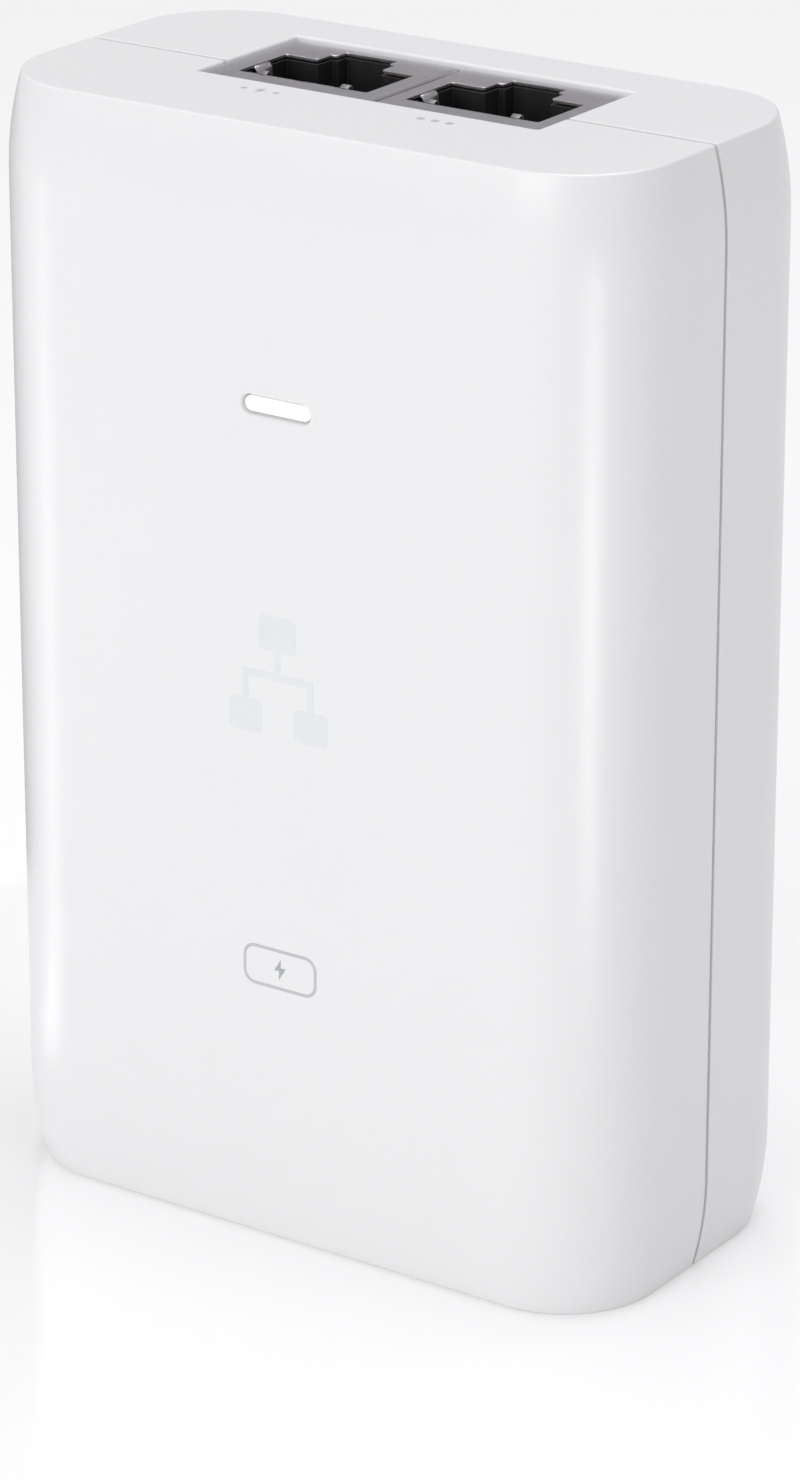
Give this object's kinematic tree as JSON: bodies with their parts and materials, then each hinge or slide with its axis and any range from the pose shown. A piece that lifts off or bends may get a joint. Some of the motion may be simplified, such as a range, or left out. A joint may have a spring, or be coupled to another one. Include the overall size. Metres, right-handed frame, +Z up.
{
  "type": "poe injector",
  "caption": "Slim white power-over-Ethernet injector that stands on its mains inlet end, with shielded network sockets in the top and a status light slot in the front.",
  "frame": {"origin": "centre of the bottom end face, the face the object stands on, which holds the mains inlet", "axes": "+Z up along the long axis, towards the network sockets; -Y is the front face with the status light; +X is the right side seen from the front"},
  "size_m": [0.0604, 0.0318, 0.092],
  "materials": {
    "case_white": "satin moulded white polycarbonate",
    "lens_white": "milky light-guide plastic",
    "shield_steel": "bright tin-plated sheet",
    "insulator_black": "matt moulded black",
    "contact_gold": "gold-flashed spring wire",
    "terminal_nickel": "nickel-plated brass blades",
    "board_green": "solder mask over glass epoxy",
    "insulating_sheet": "thin fish-paper sheet",
    "ferrite": "sintered ferrite",
    "enamelled_copper": "enamelled copper wire",
    "winding_tape": "yellow winding tape",
    "capacitor_sleeve": "shrink sleeve",
    "film_capacitor": "moulded box",
    "disc_blue": "dipped epoxy",
    "epoxy_black": "moulded epoxy",
    "heatsink_aluminium": "bare sheet",
    "screw_zinc": "zinc plated",
    "label_silver": "silver polyester film",
    "led_resin": "clear-yellow resin"
  },
  "bodies": {
    "case": {"bridge_rectifier": "epoxy_black", "bulk_capacitor": "capacitor_sleeve", "case_screw_left_bottom": "screw_zinc", "case_screw_left_top": "screw_zinc", "case_screw_right_bottom": "screw_zinc", "case_screw_right_top": "screw_zinc", "choke_coil_1": "enamelled_copper", "choke_coil_2": "enamelled_copper", "choke_core": "ferrite", "circuit_board": "board_green", "controller_ic": "epoxy_black", "data_jack_contact_carrier": "epoxy_black", "data_jack_housing": "insulator_black", "data_jack_shield": "shield_steel", "front_shell": "case_white", "fuse": "epoxy_black", "heatsink": "heatsink_aluminium", "inlet_housing": "insulator_black", "inlet_pin_earth": "terminal_nickel", "inlet_pin_line": "terminal_nickel", "inlet_pin_neutral": "terminal_nickel", "insulating_sheet": "insulating_sheet", "light_pipe": "lens_white", "network_transformer": "epoxy_black", "optocoupler": "epoxy_black", "output_capacitor_1": "capacitor_sleeve", "output_capacitor_2": "capacitor_sleeve", "output_rectifier": "epoxy_black", "poe_jack_contact_carrier": "epoxy_black", "poe_jack_housing": "insulator_black", "poe_jack_shield": "shield_steel", "power_transistor": "epoxy_black", "rating_label": "label_silver", "rear_shell": "case_white", "status_led": "led_resin", "transformer_bobbin": "epoxy_black", "transformer_core": "ferrite", "transformer_winding": "winding_tape", "varistor": "disc_blue", "x_capacitor": "film_capacitor", "y_capacitor": "disc_blue"},
    "data_contacts": {"data_jack_contact_1": "contact_gold", "data_jack_contact_2": "contact_gold", "data_jack_contact_3": "contact_gold", "data_jack_contact_4": "contact_gold", "data_jack_contact_5": "contact_gold", "data_jack_contact_6": "contact_gold", "data_jack_contact_7": "contact_gold", "data_jack_contact_8": "contact_gold"},
    "poe_contacts": {"poe_jack_contact_1": "contact_gold", "poe_jack_contact_2": "contact_gold", "poe_jack_contact_3": "contact_gold", "poe_jack_contact_4": "contact_gold", "poe_jack_contact_5": "contact_gold", "poe_jack_contact_6": "contact_gold", "poe_jack_contact_7": "contact_gold", "poe_jack_contact_8": "contact_gold"}
  },
  "joints": [
    {"name": "data_contact_flex", "type": "hinge", "parent": "case", "child": "data_contacts", "pos_m": [0.00788, -0.00235, 0.0893], "axis": [-1, 0, 0], "range_deg": [0, 12], "stiffness_Nm_per_rad": 0.27},
    {"name": "poe_contact_flex", "type": "hinge", "parent": "case", "child": "poe_contacts", "pos_m": [-0.00788, -0.00235, 0.0893], "axis": [-1, 0, 0], "range_deg": [0, 12], "stiffness_Nm_per_rad": 0.27}
  ]
}
